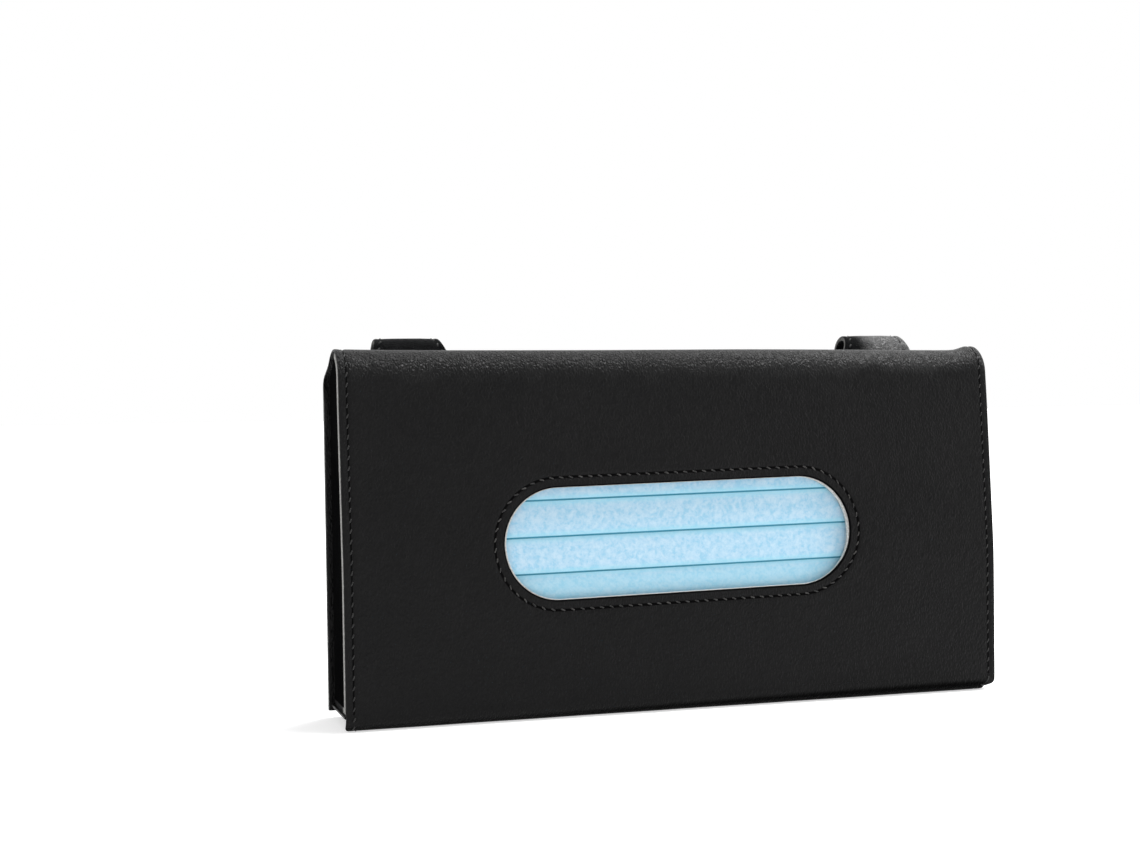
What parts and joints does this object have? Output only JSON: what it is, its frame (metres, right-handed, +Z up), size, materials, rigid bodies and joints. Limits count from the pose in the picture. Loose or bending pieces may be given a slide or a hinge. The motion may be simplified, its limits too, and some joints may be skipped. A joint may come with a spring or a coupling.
{
  "type": "car mask and tissue holder",
  "caption": "Slim black leather car holder with a stitched oval dispensing window, a swing-up front cover, a fold-under flap and strap loops for a sun visor, holding folded masks.",
  "frame": {"origin": "centre of the whole part's footprint, on the plane that it stands on, which is the flap's underside", "axes": "+X along the case to its right end as seen from the front, +Y from the front cover back to the straps, +Z up"},
  "size_m": [0.235, 0.0464, 0.128],
  "materials": {
    "black_leather": "smooth artificial leather, satin",
    "white_board": "cut board edge, matte",
    "black_lining": "fine woven lining, matte",
    "magnet": "plated disc",
    "hook_and_loop": "hook-and-loop nap, matte",
    "mask_cloth": "non-woven cloth, matte"
  },
  "bodies": {
    "case": {"case_skin": "black_leather", "back_board": "white_board", "tray_board": "white_board", "case_magnets": "magnet", "case_lining": "black_lining", "left_end_wall": "black_leather", "right_end_wall": "black_leather", "left_strap_root": "black_leather", "right_strap_root": "black_leather", "left_loop_patch": "hook_and_loop", "right_loop_patch": "hook_and_loop", "mask_pack": "mask_cloth", "front_mask": "mask_cloth"},
    "cover": {"cover_skin": "black_leather", "cover_board": "white_board", "cover_lining": "black_lining"},
    "bottom_flap": {"flap_skin": "black_leather", "flap_board": "white_board", "flap_lining": "black_lining", "flap_magnets": "magnet"},
    "left_strap": {"left_strap": "black_leather", "left_hook_patch": "hook_and_loop"},
    "right_strap": {"right_strap": "black_leather", "right_hook_patch": "hook_and_loop"}
  },
  "joints": [
    {"name": "cover_hinge", "type": "hinge", "parent": "case", "child": "cover", "pos_m": [0, -0.0092, 0.123], "axis": [-1, 0, 0], "range_deg": [0, 150]},
    {"name": "flap_hinge", "type": "hinge", "parent": "cover", "child": "bottom_flap", "pos_m": [0, -0.0182, 0], "axis": [-1, 0, 0], "range_deg": [0, 100]},
    {"name": "left_strap_bend", "type": "hinge", "parent": "case", "child": "left_strap", "pos_m": [-0.0878, 0.016, 0.128], "axis": [1, 0, 0], "range_deg": [0, 120]},
    {"name": "right_strap_bend", "type": "hinge", "parent": "case", "child": "right_strap", "pos_m": [0.0878, 0.016, 0.128], "axis": [1, 0, 0], "range_deg": [0, 120]}
  ]
}
